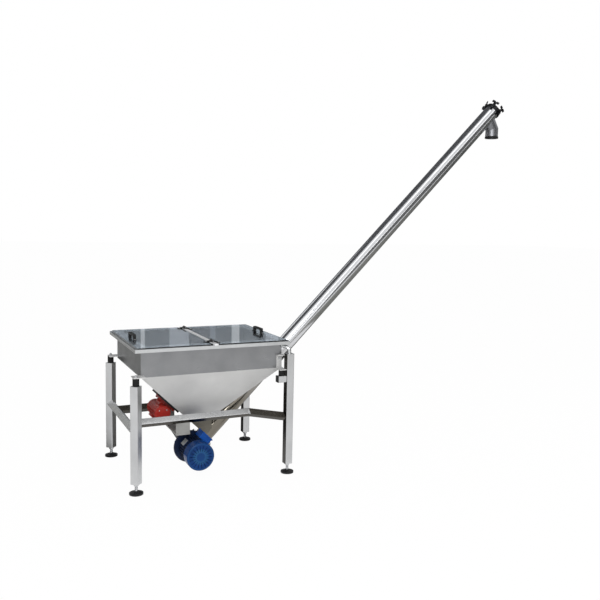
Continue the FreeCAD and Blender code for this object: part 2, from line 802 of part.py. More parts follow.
def motor_rotor():
    shaft = cyl(SHAFT_R, 58 + 348, shaft_axis(-348), Y)
    core = cyl(59, 130, shaft_axis(-270), Y)
    worm = cyl(WORM_R, 70, shaft_axis(-35), Y)
    return along_tube(fused([shaft, core, worm]))


def motor_fan():
    hub = cyl(30, 24, shaft_axis(-346), Y).fuse(cyl(84, 3, shaft_axis(-325), Y))
    blades = []
    for i in range(9):
        blade = turned(box(26, 84, -346, -323, -1.5, 1.5), 40 * i, Y)
        blades.append(moved(blade, WORM_X, 0, BOX_S))
    return along_tube(fused([hub] + blades).cut(cyl(SHAFT_R, 40, shaft_axis(-348), Y)))


def fan_cowl():
    depth = BODY_END - 6 - COWL_END
    cup = cyl(COWL_R, depth, shaft_axis(COWL_END), Y)
    brim = [e for e in cup.Edges if e.BoundBox.YMax < COWL_END + 1 and e.BoundBox.XLength > 9]
    cup = cup.makeFillet(10, brim)
    inner = cyl(COWL_R - 2, depth - 2, shaft_axis(COWL_END + 2), Y)
    front = [e for e in inner.Edges if e.BoundBox.YMax < COWL_END + 3 and e.BoundBox.XLength > 9]
    cup = cup.cut(inner.makeFillet(8, front))
    for i in range(18):
        slot = turned(box(42, 88, COWL_END - 1, COWL_END + 4, -1.7, 1.7), 20 * i, Y)
        cup = cup.cut(moved(slot, WORM_X, 0, BOX_S))
    return along_tube(cup)


def terminal_box():
    z0 = BOX_S + FIN_R + 4
    case = box(WORM_X - 48, WORM_X + 48, -238, -132, z0, z0 + 42)
    case = case.makeFillet(6, [e for e in case.Edges if e.BoundBox.ZLength > 20])
    lid_plate = box(WORM_X - 51, WORM_X + 51, -241, -129, z0 + 42, z0 + 52)
    lid_plate = lid_plate.makeFillet(5, [e for e in lid_plate.Edges if e.BoundBox.ZMin > z0 + 51])
    heads = []
    for sx in SIDES:
        for sy in SIDES:
            heads.append(cyl(4, 2.5, V(WORM_X + sx * 42, -185 + sy * 47, z0 + 52)))
    return along_tube(fused([case, lid_plate] + heads))


def cable_gland():
    at = V(WORM_X + 48, -185, BOX_S + FIN_R + 25)
    nut = hexagon(24, 10, at, X)
    dome = Part.makeCone(10, 8, 14, at + V(10, 0, 0), X)
    return along_tube(nut.fuse(dome).cut(cyl(5, 20, at + V(4, 0, 0), X)))


def rating_plate():
    x0 = WORM_X - FIN_R - 3.5
    plate = box(x0, x0 + 1.5, -233, -167, BOX_S - 25, BOX_S + 25)
    return along_tube(plate)


# Vibrator

def on_slope(shape):
    run = SKIRT_X + SLOPE_FOOT_X
    fall = SKIRT_Z - SLOPE_FOOT_Z
    angle = 180 + math.degrees(math.atan2(fall, run))
    return moved(turned(shape, angle, Y), -SKIRT_X, 0, SKIRT_Z)


def vib_axis(y):
    return V(-VIB_ALONG, y, VIB_OFF)


def foot_bolt_spots():
    return [(-VIB_ALONG + sx * 70, sy * 45) for sx in SIDES for sy in SIDES]


def vibrator_base():
    plate = box(-515, -292, -80, 80, 0, BASE_T)
    lips = [box(-515, -292, side * 77 - 3, side * 77 + 3, BASE_T, BASE_T + 6) for side in SIDES]
    return on_slope(fused([plate] + lips))


def vibrator_body():
    barrel = cyl(VIB_R, 2 * VIB_HALF, vib_axis(-VIB_HALF), Y)
    foot = box(-VIB_ALONG - 82, -VIB_ALONG + 82, -60, 60, BASE_T, BASE_T + 14)
    foot = foot.makeFillet(10, [e for e in foot.Edges if e.BoundBox.ZLength > 10])
    stem = box(-VIB_ALONG - 50, -VIB_ALONG + 50, -56, 56, BASE_T, VIB_OFF)
    rib = box(-VIB_ALONG - 72, -VIB_ALONG + 72, -5, 5, BASE_T, BASE_T + 34)
    top = box(-VIB_ALONG - 28, -VIB_ALONG + 28, -34, 34, VIB_OFF, VIB_OFF + VIB_R + 14)
    heads = [hexagon(17, 9, V(x, y, BASE_T + 14)) for x, y in foot_bolt_spots()]
    body = fused([barrel, foot, stem, rib, top] + heads)
    body = body.cut(cyl(50, 2 * VIB_HALF - 24, vib_axis(-VIB_HALF + 12), Y))
    return on_slope(body.cut(cyl(12 + FIT, 2 * VIB_HALF, vib_axis(-VIB_HALF), Y)))


def vibrator_caps():
    cap = cyl(VIB_R + 2, VIB_CAP - 10, vib_axis(VIB_HALF), Y)
    cap = cap.fuse(Part.makeCone(VIB_R + 2, VIB_R - 10, 10, vib_axis(VIB_HALF + VIB_CAP - 10), Y))
    cap = cap.cut(cyl(52, VIB_CAP - 5, vib_axis(VIB_HALF), Y))
    return on_slope(group(both(cap)))


def vibrator_rotor():
    shaft = cyl(12, 240, vib_axis(-120), Y)
    core = cyl(34, 120, vib_axis(-60), Y)
    weights = []
    for y0 in (-112, 98):
        disc = cyl(46, 14, vib_axis(y0), Y)
        weights.append(disc.common(box(-VIB_ALONG - 50, -VIB_ALONG + 50, y0, y0 + 14, 0, VIB_OFF)))
    return on_slope(fused([shaft, core] + weights))


def make_nodes():
    nodes = {}
    nodes["left_legs"] = group(both(leg(-LEG_X, -LEG_Y, LEFT_LEG_TOP, True)))
    nodes["right_legs"] = group(both(leg(LEG_X, -LEG_Y, RIGHT_LEG_TOP, False)))
    nodes["left_end_rail"] = left_end_rail()
    nodes["side_rails"] = group(both(long_rail()) + both(diagonal_rail()))
    nodes["foot_pads"] = feet(foot_pad)
    nodes["foot_spindles"] = feet(foot_spindle)
    nodes["foot_lock_nuts"] = feet(foot_nut)
    nodes["foot_inserts"] = feet(foot_insert)
    nodes["buffer_arms"] = group(both(buffer_arm()))
    nodes["arm_end_caps"] = group(both(arm_cap()))
    left = buffer(-LEG_X, LEFT_LEG_TOP, LEFT_BUFFER_R, LEFT_BUFFER_H)
    right = buffer(RIGHT_BUFFER_X, ARM_TOP, RIGHT_BUFFER_R, RIGHT_BUFFER_H)
    nodes["rubber_buffers"] = group(both(left) + both(right))
    left = fixing(-LEG_X, LEFT_LEG_TOP - TOP_PLATE, left_lug_z() + LUG)
    right = fixing(RIGHT_BUFFER_X, ARM_TOP - RAIL_WALL, right_lug_z() + LUG)
    nodes["hopper_fixings"] = group(both(left) + both(right) + both(bracket_bolt()))
    nodes["hopper_lugs"] = group(both(hopper_lug()))
    nodes["hopper_brackets"] = group(both(hopper_bracket()))
    nodes["hopper_funnel"] = hopper_funnel()
    nodes["hopper_skirt"] = hopper_skirt()
    nodes["hopper_rim"] = hopper_rim()
    nodes["lid_bar"] = lid_bar()
    nodes["hinge_bases"] = group([hinge_base(y) for y in (-HINGE_Y, HINGE_Y)])
    nodes["hinge_pins"] = group([cyl(PIN_R, 64, V(0, y - 32, hinge_z()), Y) for y in (-HINGE_Y, HINGE_Y)])
    leaves = group([hinge_leaf(y) for y in (-HINGE_Y, HINGE_Y)])
    nodes["left_lid"] = lid()
    nodes["right_lid"] = swapped(lid())
    nodes["left_hinge_leaves"] = leaves
    nodes["right_hinge_leaves"] = swapped(leaves)
    nodes["left_lid_handle"] = lid_handle()
    nodes["right_lid_handle"] = swapped(lid_handle())
    nodes["left_lid_screws"] = lid_screws()
    nodes["right_lid_screws"] = swapped(lid_screws())
    nodes["conveyor_tube"] = conveyor_tube()
    nodes["tube_base_flange"] = tube_base_flange()
    nodes["base_flange_bolts"] = base_flange_bolts()
    nodes["shaft_seal"] = shaft_seal()
    nodes["tube_saddle"] = tube_saddle()
    nodes["outlet_spout"] = outlet_spout()
    nodes["outlet_seal_ring"] = outlet_seal_ring()
    nodes["end_flange"] = end_flange()
    nodes["end_cover"] = end_cover()
    nodes["end_bush"] = end_bush()
    nodes["swing_bolt_pins"] = swing_pins()
    for number, angle in enumerate(SWING_ANGLES, 1):
        nodes["swing_bolt_%d" % number] = swing_bolt(angle)
    nodes["screw_core"] = screw_core()
    nodes["screw_flight"] = screw_flight()
    nodes["worm_wheel"] = worm_wheel()
    nodes["gearbox_housing"] = gearbox_housing()
    nodes["gearbox_cover"] = gearbox_cover()
    nodes["hanger_frame"] = hanger_frame()
    nodes["motor_body"] = motor_body()
    nodes["motor_rotor"] = motor_rotor()
    nodes["motor_fan"] = motor_fan()
    nodes["fan_cowl"] = fan_cowl()
    nodes["terminal_box"] = terminal_box()
    nodes["cable_gland"] = cable_gland()
    nodes["rating_plate"] = rating_plate()
    nodes["vibrator_base"] = vibrator_base()
    nodes["vibrator_body"] = vibrator_body()
    nodes["vibrator_caps"] = vibrator_caps()
    nodes["vibrator_rotor"] = vibrator_rotor()
    return nodes


def floor_centre(nodes):
    bounds = FreeCAD.BoundBox()
    for shape in nodes.values():
        bounds.add(shape.BoundBox)
    return V(bounds.Center.x, bounds.Center.y, bounds.ZMin)


def export_all():
    os.makedirs("parts", exist_ok=True)
    nodes = make_nodes()
    centre = floor_centre(nodes)
    for name, shape in nodes.items():
        placed = shape.copy()
        placed.translate(centre * -1)
        placed.exportStep("parts/%s.step" % name)
        print(name, len(shape.Solids), shape.isValid(), round(shape.Volume))
    print("centre", centre, "nodes", len(nodes))


export_all()
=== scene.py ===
"""Dressed model of an inclined screw conveyor with a lidded feed hopper."""
import logging
import math
from dataclasses import dataclass, field
from enum import Enum
from typing import Dict, List, Optional, Sequence, Tuple, Union

import bpy
from mathutils import Matrix, Vector


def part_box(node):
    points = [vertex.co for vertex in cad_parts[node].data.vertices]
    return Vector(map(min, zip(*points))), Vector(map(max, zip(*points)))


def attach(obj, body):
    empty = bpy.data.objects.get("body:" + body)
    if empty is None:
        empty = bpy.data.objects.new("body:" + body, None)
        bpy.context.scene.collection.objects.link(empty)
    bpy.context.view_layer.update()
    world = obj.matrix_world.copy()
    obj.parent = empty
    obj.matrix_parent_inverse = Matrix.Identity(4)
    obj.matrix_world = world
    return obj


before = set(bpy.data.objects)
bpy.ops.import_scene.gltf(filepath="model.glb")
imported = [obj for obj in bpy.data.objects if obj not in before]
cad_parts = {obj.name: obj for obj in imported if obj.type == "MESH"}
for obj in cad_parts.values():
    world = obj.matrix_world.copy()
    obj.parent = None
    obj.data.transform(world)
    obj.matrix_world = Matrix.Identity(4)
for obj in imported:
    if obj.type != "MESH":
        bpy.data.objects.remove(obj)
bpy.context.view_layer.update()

LOG = logging.getLogger("conveyor")
Colour = Tuple[float, float, float, float]
Triple = Tuple[float, float, float]
WHITE: Colour = (1.0, 1.0, 1.0, 1.0)
# Sizes of the solid model that the dressing follows, in metres
COWL_RADIUS = 0.106
PAD_RADIUS = 0.050
HALF_LEG = 0.030
# Painted highlight rings of the fan cowl, as shares of its radius with the paleness painted from there
COWL_RING = ((0.26, 0.1), (0.34, 0.55), (0.52, 0.4), (0.60, 0.0), (0.84, 0.0), (0.90, 0.25))
COWL_HUB: Colour = (0.1, 0.1, 0.1, 1.0)
COWL_EDGE: Colour = (0.0, 0.0, 0.0, 1.0)
# Share of the fine noise that is added to the broad patches of wear
FINE_SHARE = 0.55
BUMP_STRENGTH = 0.6
COAT_ROUGHNESS = 0.15
LEAST_ROUGHNESS = 0.02
CARD_ROUGHNESS = 0.9
# Input and output numbers of a colour mix node
MIX_FACTOR, MIX_FIRST, MIX_SECOND, MIX_RESULT = 0, 6, 7, 2


class Grain(Enum):
    """How a surface was worked, which sets the way its fine marks run."""

    BRUSHED_LEVEL = "brushed level"
    BRUSHED_UPRIGHT = "brushed upright"
    DRAWN_TUBE = "drawn along the sloping tube"
    CAST = "sprayed over a casting"
    MOULDED = "moulded"
    GROUND = "turned or ground"


class MillArea(Enum):
    """Which part of a tube gets painted shade, a darker colour laid where shade falls on it."""

    # NONE lays no painted shade
    NONE = "ground all over"
    DIAGONALS_AND_REAR = "the diagonal braces and the rear rail"
    INNER_FACES = "the faces that look to the machine's left"


GRAIN_STRETCH: Dict[Grain, Triple] = {
    Grain.BRUSHED_LEVEL: (0.04, 0.04, 1.0),
    Grain.BRUSHED_UPRIGHT: (1.0, 1.0, 0.04),
    Grain.DRAWN_TUBE: (1.0, 1.0, 0.02),
    Grain.CAST: (1.0, 1.0, 1.0),
    Grain.MOULDED: (1.0, 1.0, 1.0),
    Grain.GROUND: (1.0, 0.3, 1.0),
}


def linear(code: str, alpha: float = 1.0) -> Colour:
    """Turn an sRGB hex colour into linear light.

    Args:
        code: six hex digits after a hash sign.
        alpha: opacity.

    Returns:
        Linear red, green, blue and alpha.
    """
    parts = []
    for start in (1, 3, 5):
        value = int(code[start:start + 2], 16) / 255.0
        parts.append(value / 12.92 if value <= 0.04045 else ((value + 0.055) / 1.055) ** 2.4)
    return (parts[0], parts[1], parts[2], alpha)


def add_node(tree: bpy.types.NodeTree, kind: str, settings: Optional[dict] = None,
             links: Optional[dict] = None) -> bpy.types.Node:
    """Add one node with its settings and the links into it.

    Args:
        tree: node tree that receives the node.
        kind: node type name.
        settings: attribute names, or input names or numbers, with their values.
        links: input names or numbers with the output sockets that feed them.

    Returns:
        The new node.
    """
    node = tree.nodes.new(kind)
    for key, value in (settings or {}).items():
        if isinstance(key, str) and hasattr(node, key):
            setattr(node, key, value)
        else:
            node.inputs[key].default_value = value
    for key, socket in (links or {}).items():
        tree.links.new(socket, node.inputs[key])
    return node


def math_node(tree: bpy.types.NodeTree, operation: str, first: bpy.types.NodeSocket,
              second: Union[float, bpy.types.NodeSocket]) -> bpy.types.NodeSocket:
    """Join two values by one sum.

    Args:
        tree: node tree that receives the node.
        operation: name of the sum, such as MAXIMUM.
        first: socket of the first value.
        second: socket of the second value, or a plain number.

    Returns:
        The result's socket.
    """
    plain = isinstance(second, float)
    settings = {"operation": operation, 1: second} if plain else {"operation": operation}
    links = {0: first} if plain else {0: first, 1: second}
    return add_node(tree, "ShaderNodeMath", settings, links).outputs[0]


def toned(tree: bpy.types.NodeTree, tone: bpy.types.NodeSocket, code: str,
          share: bpy.types.NodeSocket) -> bpy.types.NodeSocket:
    """Lay a second colour over a tone.

    Args:
        tree: material tree.
        tone: colour socket underneath.
        code: sRGB colour laid over it.
        share: socket that is 1 where only the second colour shows.

    Returns:
        The colour socket of both.
    """
    mix = add_node(tree, "ShaderNodeMix", {"data_type": "RGBA"}, {MIX_FACTOR: share, MIX_FIRST: tone})
    mix.inputs[MIX_SECOND].default_value = linear(code)
    return mix.outputs[MIX_RESULT]


def linked(name: str, data: bpy.types.ID) -> bpy.types.Object:
    """Make an object and put it into the scene.

    Args:
        name: object name.
        data: its mesh, curve, lamp or camera.

    Returns:
        The object.
    """
    thing = bpy.data.objects.new(name, data)
    bpy.context.scene.collection.objects.link(thing)
    return thing


def flat_sheet(name: str, half_wide: float, half_high: float) -> bpy.types.Mesh:
    """Make a flat rectangle about the origin that faces up.

    Args:
        name: mesh name.
        half_wide: half its width.
        half_high: half its height.

    Returns:
        The mesh.
    """
    corners = [(-half_wide, -half_high, 0), (half_wide, -half_high, 0),
               (half_wide, half_high, 0), (-half_wide, half_high, 0)]
    mesh = bpy.data.meshes.new(name)
    mesh.from_pydata(corners, [], [(0, 1, 2, 3)])
    return mesh


@dataclass(frozen=True)
class Finish:
    """A surface finish, its colour pair, its shine and its fine texture.

    Lengths whose names end in mm are millimetres. The places of the lower tint and of the painted shade are
    metres in the machine's own axes.
    """

    name: str
    colour: str
    shade: str
    metallic: float = 0.0
    roughness: float = 0.4
    spread: float = 0.06
    grain: Grain = Grain.MOULDED
    grain_mm: float = 4.0
    bump_mm: float = 0.05
    coat: float = 0.0
    transmission: float = 0.0
    ior: float = 1.5
    specular: float = 0.5
    # A darker brownish tint towards the lower end, faded in between two heights
    stain: str = "#7C776C"
    stain_low: float = 0.0
    stain_high: float = 0.0
    # Painted shade: a darker colour laid on the faces that the area below picks out as shaded
    mill: str = "#6A6762"
    mill_area: MillArea = MillArea.NONE
    brace_start: float = -0.781
    rear_start: float = 0.1
    inner_limit: float = -0.5
    under_limit: float = -0.4

    def _stain_share(self, tree: bpy.types.NodeTree) -> bpy.types.NodeSocket:
        """Fade in a darker brownish tint towards the lower end.

        Args:
            tree: material tree.

        Returns:
            A socket that is 1 below stain_low and 0 above stain_high.
        """
        coords = add_node(tree, "ShaderNodeTexCoord")
        parts = add_node(tree, "ShaderNodeSeparateXYZ", {}, {"Vector": coords.outputs["Object"]})
        limits = {"From Min": self.stain_low, "From Max": self.stain_high, "To Min": 1.0, "To Max": 0.0}
        fade = add_node(tree, "ShaderNodeMapRange", limits, {"Value": parts.outputs["Z"]})
        return fade.outputs["Result"]

    def _mill_mask(self, tree: bpy.types.NodeTree) -> bpy.types.NodeSocket:
        """Find the surface that gets the painted shade.

        Args:
            tree: material tree.

        Returns:
            A socket that is 1 there and 0 elsewhere.
        """
        coords = add_node(tree, "ShaderNodeTexCoord")
        source = "Normal" if self.mill_area is MillArea.INNER_FACES else "Object"
        parts = add_node(tree, "ShaderNodeSeparateXYZ", {}, {"Vector": coords.outputs[source]})
        if self.mill_area is MillArea.INNER_FACES:
            return math_node(tree, "LESS_THAN", parts.outputs["X"], self.inner_limit)
        facing = add_node(tree, "ShaderNodeSeparateXYZ", {}, {"Vector": coords.outputs["Normal"]})
        brace = math_node(tree, "GREATER_THAN", parts.outputs["X"], self.brace_start)
        rear = math_node(tree, "GREATER_THAN", parts.outputs["Y"], self.rear_start)
        # faces that look down get the painted shade as well
        under = math_node(tree, "LESS_THAN", facing.outputs["Z"], self.under_limit)
        return math_node(tree, "MAXIMUM", math_node(tree, "MAXIMUM", brace, rear), under)

    def _pattern(self, tree: bpy.types.NodeTree) -> bpy.types.Node:
        """Add the fine noise of this finish.

        Args:
            tree: material tree.

        Returns:
            The noise node.
        """
        coords = add_node(tree, "ShaderNodeTexCoord")
        stretch = GRAIN_STRETCH[self.grain]
        tilt = (0.0, math.radians(-45.0), 0.0) if self.grain is Grain.DRAWN_TUBE else (0.0, 0.0, 0.0)
        turned = add_node(tree, "ShaderNodeMapping", {"Rotation": tilt}, {"Vector": coords.outputs["Object"]})
        per_metre = 1000.0 / self.grain_mm
        scale = tuple(per_metre * part for part in stretch)
        sized = add_node(tree, "ShaderNodeMapping", {"Scale": scale}, {"Vector": turned.outputs["Vector"]})
        return add_node(tree, "ShaderNodeTexNoise", {"Scale": 1.0, "Detail": 3.0, "Roughness": 0.55},
                        {"Vector": sized.outputs["Vector"]})

    def _patches(self, tree: bpy.types.NodeTree) -> bpy.types.Node:
        """Add broad soft patches of handling and wear, about 150 mm across.

        Args:
            tree: material tree.

        Returns:
            The noise node.
        """
        coords = add_node(tree, "ShaderNodeTexCoord")
        return add_node(tree, "ShaderNodeTexNoise", {"Scale": 7.0, "Detail": 2.0, "Roughness": 0.5},
                        {"Vector": coords.outputs["Object"]})

    def _tone(self, tree: bpy.types.NodeTree, blend: bpy.types.NodeSocket) -> bpy.types.NodeSocket:
        """Mix the finish's colours, with its painted shade and its lower tint.

        Args:
            tree: material tree.
            blend: socket of the fine noise and the patches together.

        Returns:
            The base colour's socket.
        """
        share = add_node(tree, "ShaderNodeMapRange", {"From Min": 0.45, "From Max": 1.1}, {"Value": blend})
        mix = add_node(tree, "ShaderNodeMix", {"data_type": "RGBA"}, {MIX_FACTOR: share.outputs["Result"]})
        mix.inputs[MIX_FIRST].default_value = linear(self.colour)
        mix.inputs[MIX_SECOND].default_value = linear(self.shade)
        tone = mix.outputs[MIX_RESULT]
        # lay the painted shade on the shaded faces
        if self.mill_area is not MillArea.NONE:
            tone = toned(tree, tone, self.mill, self._mill_mask(tree))
        if self.stain_high > 0.0:
            tone = toned(tree, tone, self.stain, self._stain_share(tree))
        return tone

    def build(self) -> bpy.types.Material:
        """Make the material.

        Returns:
            The finished material.
        """
        material = bpy.data.materials.new(self.name)
        material.use_nodes = True
        tree = material.node_tree
        shader = tree.nodes["Principled BSDF"]
        noise = self._pattern(tree)
        patches = self._patches(tree)
        blend = add_node(tree, "ShaderNodeMath", {"operation": "MULTIPLY_ADD", 1: FINE_SHARE},
                         {0: noise.outputs["Fac"], 2: patches.outputs["Fac"]})
        tree.links.new(self._tone(tree, blend.outputs[0]), shader.inputs["Base Color"])
        smoothest = max(LEAST_ROUGHNESS, self.roughness - self.spread)
        roughest = self.roughness + self.spread
        limits = {"From Min": 0.4, "From Max": 1.15, "To Min": smoothest, "To Max": roughest}
        rough = add_node(tree, "ShaderNodeMapRange", limits, {"Value": blend.outputs[0]})
        tree.links.new(rough.outputs["Result"], shader.inputs["Roughness"])
        if self.bump_mm > 0.0:
            depth = {"Strength": BUMP_STRENGTH, "Distance": self.bump_mm / 1000.0}
            bump = add_node(tree, "ShaderNodeBump", depth, {"Height": noise.outputs["Fac"]})
            tree.links.new(bump.outputs["Normal"], shader.inputs["Normal"])
        shader.inputs["Metallic"].default_value = self.metallic
        shader.inputs["Specular IOR Level"].default_value = self.specular
        shader.inputs["Coat Weight"].default_value = self.coat
        shader.inputs["Coat Roughness"].default_value = COAT_ROUGHNESS
        shader.inputs["Transmission Weight"].default_value = self.transmission
        if self.metallic < 0.5:
            shader.inputs["IOR"].default_value = self.ior
        return material


@dataclass
class Palette:
    """Every finish of the machine, one for each kind of surface."""

    # Stainless square tube, satin ground along its length, soft grey reflections
    legs: Finish = Finish("Satin stainless leg tube", "#CECFD0", "#BDBEBF", 1.0, 0.32, 0.05,
                          Grain.BRUSHED_UPRIGHT, 1.2, 0.02)
    # The right hand legs get painted shade, brownish and darker, on the faces that look to the machine's left
    inner_legs: Finish = Finish("Satin stainless leg tube with mill face", "#CECFD0", "#BDBEBF", 1.0, 0.32,
                                0.05, Grain.BRUSHED_UPRIGHT, 1.2, 0.02, mill="#302E2A",
                                mill_area=MillArea.INNER_FACES)
    # The same tube for the level rails, ground the other way
    rails: Finish = Finish("Satin stainless rail tube", "#D8D9DA", "#C2C3C5", 1.0, 0.26, 0.05,
                           Grain.BRUSHED_LEVEL, 1.2, 0.02)
    # The long rails, with painted shade on their diagonal braces, their rear run and their faces that look
    # down
    long_rails: Finish = Finish("Satin stainless rail tube with mill braces", "#D8D9DA", "#C2C3C5", 1.0,
                                0.26, 0.05, Grain.BRUSHED_LEVEL, 1.2, 0.02, mill="#47443F",
                                mill_area=MillArea.DIAGONALS_AND_REAR)
    # Folded stainless sheet of the upper hopper, brushed level, a middle grey
    skirt: Finish = Finish("Brushed stainless hopper sheet", "#949597", "#858688", 1.0, 0.30, 0.05,
                           Grain.BRUSHED_LEVEL, 1.0, 0.015)
    # The folded rim is polished where hands and covers rub it
    rim: Finish = Finish("Polished folded rim sheet", "#CFD1D2", "#BEC0C1", 1.0, 0.24, 0.05,
                         Grain.BRUSHED_LEVEL, 1.0, 0.01)
    # The hanger of the drive is blasted plate, matter than the sheets above it
    hanger: Finish = Finish("Blasted stainless plate", "#A6A6A4", "#7E7E7B", 0.4, 0.55, 0.06,
                            Grain.CAST, 1.2, 0.05)
    # The bar that carries the hinges is bead-blasted and stays pale between the lids
    bar: Finish = Finish("Bead-blasted lid bar", "#E6E7E8", "#DADBDC", 0.3, 0.45, 0.05,
                         Grain.BRUSHED_LEVEL, 1.0, 0.01)
    # The sloping faces look lighter, because they mirror the pale floor
    funnel: Finish = Finish("Brushed stainless sloping sheet", "#CFCFCE", "#C4C4C4", 0.5, 0.50, 0.05,
                            Grain.BRUSHED_LEVEL, 1.0, 0.015, stain="#6E6A60", stain_low=0.405,
                            stain_high=0.445)
    # Polished round tube, its clear bands follow the drawing direction
    tube: Finish = Finish("Polished stainless tube", "#D6D7D9", "#CCCDD0", 1.0, 0.12, 0.03,
                          Grain.DRAWN_TUBE, 2.5, 0.004, stain="#78736A", stain_low=0.50, stain_high=0.95)
    # The welded outlet branch is the tube's stainless painted darker as painted shade, and duller than the
    # tube
    spout: Finish = Finish("Pickled stainless branch", "#85868A", "#77787B", 1.0, 0.42, 0.04,
                           Grain.BRUSHED_UPRIGHT, 2.0, 0.01)
    # Bright zinc on nuts, pins and bolts
    zinc: Finish = Finish("Zinc plated fastener steel", "#C9CACC", "#A9ABAE", 1.0, 0.25, 0.06,
                          Grain.GROUND, 1.5, 0.01)
    # Turned steel inside the machine
    steel: Finish = Finish("Turned shaft steel", "#8E9094", "#76787C", 1.0, 0.35, 0.06,
                           Grain.GROUND, 1.0, 0.02)
    # Clear cast acrylic sheet of the lids, faintly blue
    acrylic: Finish = Finish("Clear cast acrylic sheet", "#E3E9EE", "#DCE3EA", 0.0, 0.05, 0.01,
                             Grain.MOULDED, 60.0, 0.0, 0.0, 1.0, 1.49)
    # Glass filled nylon of feet, hinges and handles, a dull fine grain
    nylon: Finish = Finish("Moulded black nylon", "#1B1C1D", "#121213", 0.0, 0.48, 0.08,
                           Grain.MOULDED, 0.8, 0.03, specular=0.3)
    # Vulcanised rubber of buffers and seals, dead black
    rubber: Finish = Finish("Vulcanised black rubber", "#161616", "#0E0E0E", 0.0, 0.70, 0.08,
                            Grain.MOULDED, 1.5, 0.04, specular=0.25)
    # Two part blue enamel sprayed over cast iron, slight orange peel
    blue: Finish = Finish("Blue machine enamel over cast iron", "#01489C", "#02377A", 0.0, 0.30, 0.06,
                          Grain.CAST, 3.0, 0.12, 0.05, specular=0.15)
    # The pressed fan cowl has the same enamel, painted a little deeper as painted shade
    cowl: Finish = Finish("Blue machine enamel over pressed steel", "#02326E", "#022856", 0.0, 0.28, 0.05,
                          Grain.CAST, 3.0, 0.05, 0.05, specular=0.15)
    # The motor body and its fins have the blue enamel painted nearly black, as painted shade
    navy: Finish = Finish("Oily dark blue enamel between fins", "#10203F", "#0A1428", 0.0, 0.40, 0.08,
                          Grain.CAST, 2.5, 0.15, 0.0, specular=0.25)
    # Dark red enamel of the vibrator
    red: Finish = Finish("Dark red machine enamel", "#A02A22", "#7A1A15", 0.0, 0.30, 0.06,
                         Grain.CAST, 3.0, 0.12, 0.05, specular=0.22)
    # Black enamel of the vibrator's caps and of its base
    black: Finish = Finish("Black machine enamel", "#202224", "#151617", 0.0, 0.38, 0.06,
                           Grain.CAST, 3.0, 0.08, 0.1, specular=0.25)
    # Steel blackened in hot salts, for the wing nuts and their bolts
    blackened: Finish = Finish("Blackened steel", "#3A3B3D", "#2A2B2D", 1.0, 0.42, 0.06,
                               Grain.GROUND, 1.5, 0.02)
    # Bare aluminium sheet, rolled
    plate: Finish = Finish("Rolled bare aluminium", "#D6D7D9", "#C4C6C8", 1.0, 0.36, 0.05,
                           Grain.BRUSHED_LEVEL, 1.0, 0.01)
    # Centrifugally cast bronze of the worm wheel
    bronze: Finish = Finish("Turned worm wheel bronze", "#B98A4A", "#9A6E36", 1.0, 0.35, 0.05,
                            Grain.GROUND, 1.0, 0.02)
    # White acetal of the end bush
    acetal: Finish = Finish("Turned white acetal", "#E4E4DF", "#D8D8D2", 0.0, 0.40, 0.05,
                            Grain.GROUND, 1.0, 0.01)
    made: Dict[str, bpy.types.Material] = field(default_factory=dict)

    def get(self, key: str) -> bpy.types.Material:
        """Give the material of a finish, made once.

        Args:
            key: field name of the finish.

        Returns:
            The material.
        """
        if key not in self.made:
            self.made[key] = getattr(self, key).build()
        return self.made[key]


